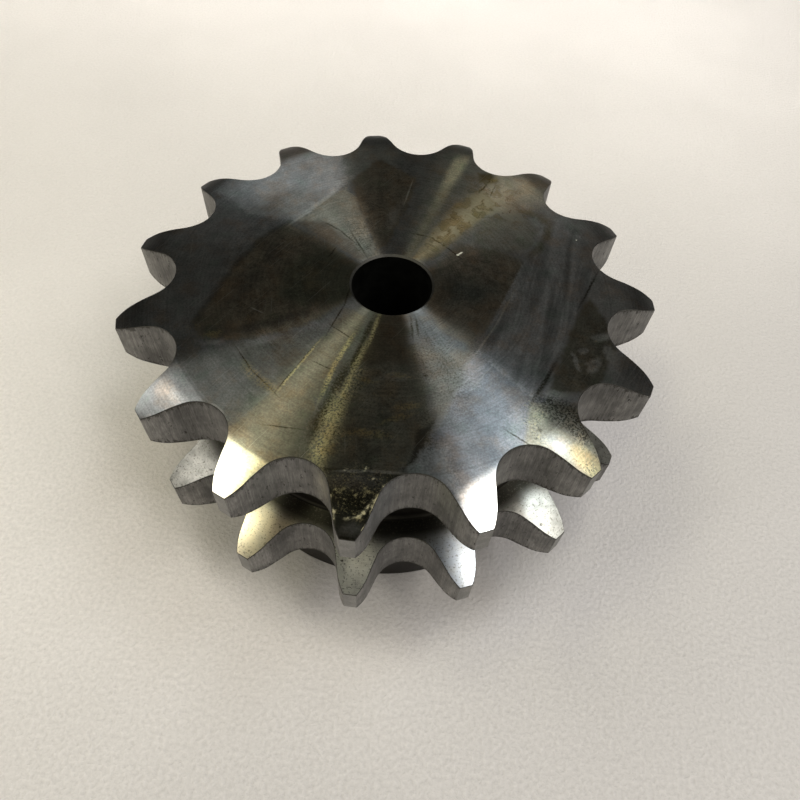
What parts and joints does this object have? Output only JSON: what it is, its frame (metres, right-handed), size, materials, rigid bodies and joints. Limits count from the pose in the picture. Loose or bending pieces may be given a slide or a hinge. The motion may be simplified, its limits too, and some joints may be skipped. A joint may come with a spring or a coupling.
{
  "type": "chain sprocket",
  "caption": "Duplex roller chain sprocket turned and hobbed from one piece of steel, with a hub on one side and a plain pilot bore.",
  "frame": {"origin": "on the bore's axis in the end face of the hub, which the sprocket stands on", "axes": "+Z along the bore axis from the hub to the toothed face; one tooth of each row is centred on -Y"},
  "size_m": [0.1324, 0.1318, 0.072],
  "materials": {
    "steel": "turned and hobbed bare steel, lightly oiled and stained"
  },
  "bodies": {
    "root": {"sprocket": "steel"}
  },
  "joints": []
}
